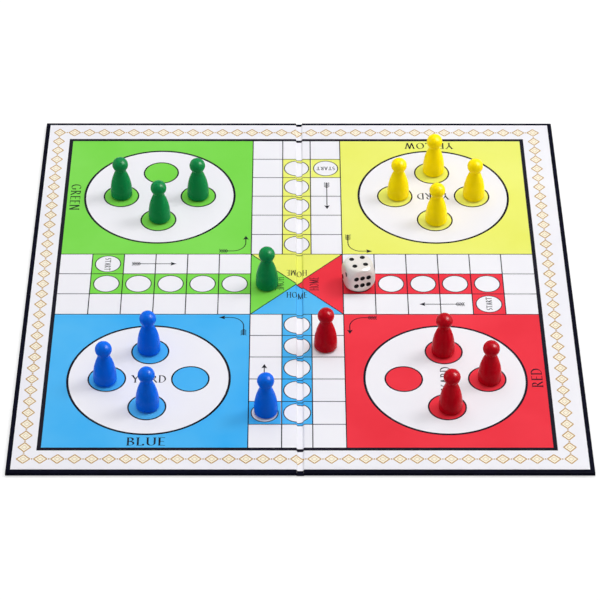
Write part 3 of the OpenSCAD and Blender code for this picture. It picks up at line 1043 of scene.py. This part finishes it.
# %% Die finishes
ivory, nodes, links, shader = finish_nodes("ivory_plastic")
base = wander(nodes, links, 160.0, 3.0, screen(230, 224, 217), screen(237, 232, 226))
links.new(base, shader.inputs["Base Color"])
links.new(wander(nodes, links, 400.0, 2.0, 0.26, 0.36), shader.inputs["Roughness"])
shader.inputs["Specular IOR Level"].default_value = 0.45
grain_bump(nodes, links, shader, wander(nodes, links, 1800.0, 2.0, 0.0, 1.0), 0.00003, 0.15)
pip_black, nodes, links, shader = finish_nodes("pip_paint")
links.new(wander(nodes, links, 900.0, 2.0, screen(3, 3, 4), screen(9, 9, 10)), shader.inputs["Base Color"])
links.new(wander(nodes, links, 1500.0, 2.0, 0.4, 0.55), shader.inputs["Roughness"])
shader.inputs["Specular IOR Level"].default_value = 0.08
grain_bump(nodes, links, shader, wander(nodes, links, 4000.0, 2.0, 0.0, 1.0), 0.00002, 0.3)
print("die finishes:", ivory.name, pip_black.name)

# %% Cut the dishes and lay the paint
dish_r = (PIP_D**2 / 4 + PIP_DEPTH**2) / (2 * PIP_DEPTH)
ball_mesh = bpy.data.meshes.new("pip_ball")
builder = bmesh.new()
bmesh.ops.create_uvsphere(builder, u_segments=40, v_segments=24, radius=dish_r * MM)
bmesh.ops.translate(builder, verts=builder.verts[:], vec=(0, 0, (dish_r - PIP_DEPTH) * MM))
builder.to_mesh(ball_mesh)
builder.free()
ball = add_object("pip_ball", ball_mesh)
cutter = add_object("pip_cutter", on_pips("pip_cutter", ball, ivory))
uncut = add_object("die_uncut", die_mesh)
cut = uncut.modifiers.new("dishes", "BOOLEAN")
cut.operation = "DIFFERENCE"
cut.solver = "EXACT"
cut.object = cutter
body_mesh = plain_mesh(uncut)
for spare in (ball, cutter, uncut):
    bpy.data.objects.remove(spare)
print("die faces after the cuts:", len(body_mesh.polygons))

# %% Paint dishes
dish_points = []
dish_faces = []
rings_in_dish = 5
around = 40
paint_r = PIP_D / 2 - PAINT_INSET
for lift in (PAINT_TOP, PAINT_FOOT):
    for k in range(1, rings_in_dish + 1):
        r = paint_r * k / rings_in_dish
        height = dish_r - PIP_DEPTH - math.sqrt(dish_r**2 - r**2) + lift
        for a in range(around):
            angle = 2 * math.pi * a / around
            dish_points.append((r * math.cos(angle), r * math.sin(angle), height))
    dish_points.append((0.0, 0.0, -PIP_DEPTH + lift))
layer = rings_in_dish * around + 1
for a in range(around):
    after = (a + 1) % around
    for base, flip in ((0, False), (layer, True)):
        centre = base + layer - 1
        tri = (centre, base + a, base + after)
        dish_faces.append(tri[::-1] if flip else tri)
        for k in range(rings_in_dish - 1):
            inner = base + k * around
            outer = inner + around
            quad = (inner + a, outer + a, outer + after, inner + after)
            dish_faces.append(quad[::-1] if flip else quad)
    rim = (rings_in_dish - 1) * around
    dish_faces.append((rim + a, layer + rim + a, layer + rim + after, rim + after))
dish_mesh = bpy.data.meshes.new("pip_dish")
dish_mesh.from_pydata([(x * MM, y * MM, z * MM) for x, y, z in dish_points], [], dish_faces)
dish = add_object("pip_dish", dish_mesh)
paint_mesh = on_pips("die_pip_paint", dish, pip_black)
bpy.data.objects.remove(dish)
print("paint faces:", len(paint_mesh.polygons))

# %% Set the die on the board
low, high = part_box("die")
middle = Vector([(low[k] + high[k]) / 2 for k in range(3)])
die_place = Matrix.Translation(middle) @ Matrix.Rotation(DIE_TURN, 4, "Z")
for name, mesh, node, slot, material in (
    ("die_body", body_mesh, "die", "die_ivory", ivory),
    ("die_pip_paint", paint_mesh, "die_pips", "pip_black", pip_black),
):
    mesh.transform(die_place)
    mesh.materials.clear()
    mesh.materials.append(material)
    mesh.polygons.foreach_set("material_index", np.zeros(len(mesh.polygons), dtype=np.int32))
    mesh.polygons.foreach_set("use_smooth", np.ones(len(mesh.polygons), dtype=bool))
    mesh.update()
    piece = add_object(name, mesh)
    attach(piece, "die")
    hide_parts(node)
print("die middle:", [round(v, 4) for v in middle])

# %% [markdown]
# ## The cloth and the hidden layers
# The outside is a paper-backed leatherette: navy, with a fine pebbled grain pressed into it and a low
# sheen. A Voronoi pattern of about half a millimetre makes the pebbles, and noise varies the colour and the
# sheen. The greyboard, the filler and the lining hardly show, but they still get the finish of plain fibre
# board and paper.

# %% Leatherette
cloth, nodes, links, shader = finish_nodes("navy_leatherette")
base = wander(nodes, links, 220.0, 4.0, screen(7, 7, 20), screen(13, 13, 32))
links.new(base, shader.inputs["Base Color"])
links.new(wander(nodes, links, 500.0, 3.0, 0.36, 0.52), shader.inputs["Roughness"])
shader.inputs["Specular IOR Level"].default_value = 0.015
coords = nodes.new("ShaderNodeTexCoord")
pebbles = nodes.new("ShaderNodeTexVoronoi")
pebbles.inputs["Scale"].default_value = 1700.0
links.new(coords.outputs["Object"], pebbles.inputs["Vector"])
grain_bump(nodes, links, shader, pebbles.outputs["Distance"], 0.00008, 0.45)


def dress(node, material):
    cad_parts[node].data.materials.clear()
    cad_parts[node].data.materials.append(material)


for node in ("left_cover", "right_cover", "spine_cover"):
    dress(node, cloth)
print("cloth finish:", cloth.name)


# %% Board and papers
def fibre(name, dark, pale, scale):
    material, nodes, links, shader = finish_nodes(name)
    links.new(wander(nodes, links, scale, 5.0, dark, pale), shader.inputs["Base Color"])
    links.new(wander(nodes, links, scale * 2, 2.0, 0.75, 0.95), shader.inputs["Roughness"])
    shader.inputs["Specular IOR Level"].default_value = 0.15
    grain_bump(nodes, links, shader, wander(nodes, links, scale * 4, 3.0, 0.0, 1.0), 0.00005, 0.4)
    return material


layers = {
    "greyboard": fibre("grey_board", screen(120, 116, 110), screen(150, 146, 138), 700.0),
    "filler": fibre("filler_paper", screen(196, 190, 180), screen(212, 207, 198), 900.0),
    "lining": fibre("lining_cloth", screen(205, 200, 190), screen(222, 218, 210), 1100.0),
}
for node, layer_name in (
    ("left_core", "greyboard"),
    ("right_core", "greyboard"),
    ("left_filler", "filler"),
    ("right_filler", "filler"),
    ("hinge_lining", "lining"),
):
    dress(node, layers[layer_name])
print("layer finishes:", list(layers))

# %% [markdown]
# ## The floor
# The photo's ground is plain white. The floor is a pale plane under the board that still takes its shadow.
# It glows a little for the camera and in reflections, so that it meets the white surround without a line.

# %% Floor
FLOOR_REACH = 6.0
FLOOR_Z = -0.0002
FLOOR_TONE = 0.6
FLOOR_GLOW = 0.5
floor_mesh = bpy.data.meshes.new("floor")
signs = ((-1, -1), (1, -1), (1, 1), (-1, 1))
floor_corners = [(x * FLOOR_REACH, y * FLOOR_REACH, FLOOR_Z) for x, y in signs]
floor_mesh.from_pydata(floor_corners, [], [(0, 1, 2, 3)])
floor = add_object("floor", floor_mesh)
ground, nodes, links, shader = finish_nodes("pale_floor")
shader.inputs["Base Color"].default_value = (FLOOR_TONE, FLOOR_TONE, FLOOR_TONE, 1.0)
shader.inputs["Roughness"].default_value = 1.0
shader.inputs["Specular IOR Level"].default_value = 0.0
shader.inputs["Emission Color"].default_value = (1.0, 1.0, 1.0, 1.0)
glow = nodes.new("ShaderNodeMapRange")
glow.inputs["To Min"].default_value = 0.0
glow.inputs["To Max"].default_value = FLOOR_GLOW
links.new(seen_rays(nodes, links), glow.inputs["Value"])
links.new(glow.outputs["Result"], shader.inputs["Emission Strength"])
floor_mesh.materials.append(ground)
print("floor reaches", FLOOR_REACH, "m each way")
